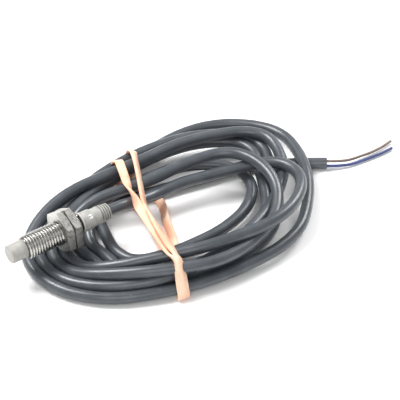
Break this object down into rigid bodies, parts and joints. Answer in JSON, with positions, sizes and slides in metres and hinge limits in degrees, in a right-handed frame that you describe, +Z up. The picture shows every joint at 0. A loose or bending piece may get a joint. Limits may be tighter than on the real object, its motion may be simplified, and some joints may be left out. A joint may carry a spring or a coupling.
{
  "type": "proximity sensor",
  "caption": "Threaded cylindrical inductive proximity sensor with two lock nuts, toothed washers, a clamped two-core cable wound in a hank, and a rubber band round the hank.",
  "frame": {"origin": "on the barrel's axis, at the front end of the thread, 5.5 mm behind the sensing face", "axes": "+X along the barrel's axis, from the sensing end to the cable end; +Z up from the surface the cable lies on; +Y to the left when looking along +X"},
  "size_m": [0.1478, 0.0755, 0.02],
  "materials": {
    "cap_plastic": "matte moulded plastic",
    "ferrite": "fired ferrite, matt",
    "bobbin_plastic": "matte moulded plastic",
    "winding": "enamelled copper wire",
    "board": "glass epoxy with solder mask",
    "chip": "black moulding compound",
    "ceramic": "ceramic body",
    "led_body": "clear yellow moulding",
    "resin": "potting resin",
    "nickel": "nickel plated, satin",
    "washer_nickel": "nickel plated, stamped",
    "seal": "matte rubber",
    "clamp_plastic": "light grey moulded plastic",
    "window": "clear lens",
    "jacket": "semi-gloss slate PVC",
    "brown_pvc": "PVC insulation",
    "blue_pvc": "PVC insulation",
    "copper": "tinned copper strand",
    "band_rubber": "soft natural rubber"
  },
  "bodies": {
    "sensor": {"sensing_cap": "cap_plastic", "ferrite_core": "ferrite", "coil_bobbin": "bobbin_plastic", "sensing_coil": "winding", "coil_leads": "winding", "circuit_board": "board", "oscillator_chip": "chip", "output_transistor": "chip", "capacitors": "ceramic", "resistors": "chip", "zener_diode": "chip", "indicator_led": "led_body", "head_resin": "resin", "barrel_resin": "resin", "threaded_barrel": "nickel", "seal_ring": "seal", "cable_clamp": "clamp_plastic", "led_window": "window", "brown_lead_inside": "brown_pvc", "blue_lead_inside": "blue_pvc", "cable_lead": "jacket", "cable_coil": "jacket", "cable_tail": "jacket", "brown_wire": "brown_pvc", "blue_wire": "blue_pvc", "brown_copper": "copper", "blue_copper": "copper", "rubber_band": "band_rubber"},
    "rear_washer": {"rear_washer": "washer_nickel"},
    "rear_nut": {"rear_nut": "nickel"},
    "front_washer": {"front_washer": "washer_nickel"},
    "front_nut": {"front_nut": "nickel"}
  },
  "joints": [
    {"name": "rear_nut_travel", "type": "slide", "parent": "sensor", "child": "rear_washer", "axis": [-1, 0, 0], "range_m": [-0.002, 0.006]},
    {"name": "rear_nut_turn", "type": "hinge", "parent": "rear_washer", "child": "rear_nut", "pos_m": [0.01585, 0, 0], "axis": [-1, 0, 0], "range_deg": [-720, 2160]},
    {"name": "front_nut_travel", "type": "slide", "parent": "rear_nut", "child": "front_washer", "axis": [-1, 0, 0], "range_m": [0, 0.0064]},
    {"name": "front_nut_turn", "type": "hinge", "parent": "front_washer", "child": "front_nut", "pos_m": [0.0129, 0, 0], "axis": [-1, 0, 0], "range_deg": [0, 2304]}
  ],
  "couplings": [
    {"joint": "rear_nut_turn", "follows": "rear_nut_travel", "rad_per_m": 6283.2},
    {"joint": "front_nut_turn", "follows": "front_nut_travel", "rad_per_m": 6283.2}
  ]
}
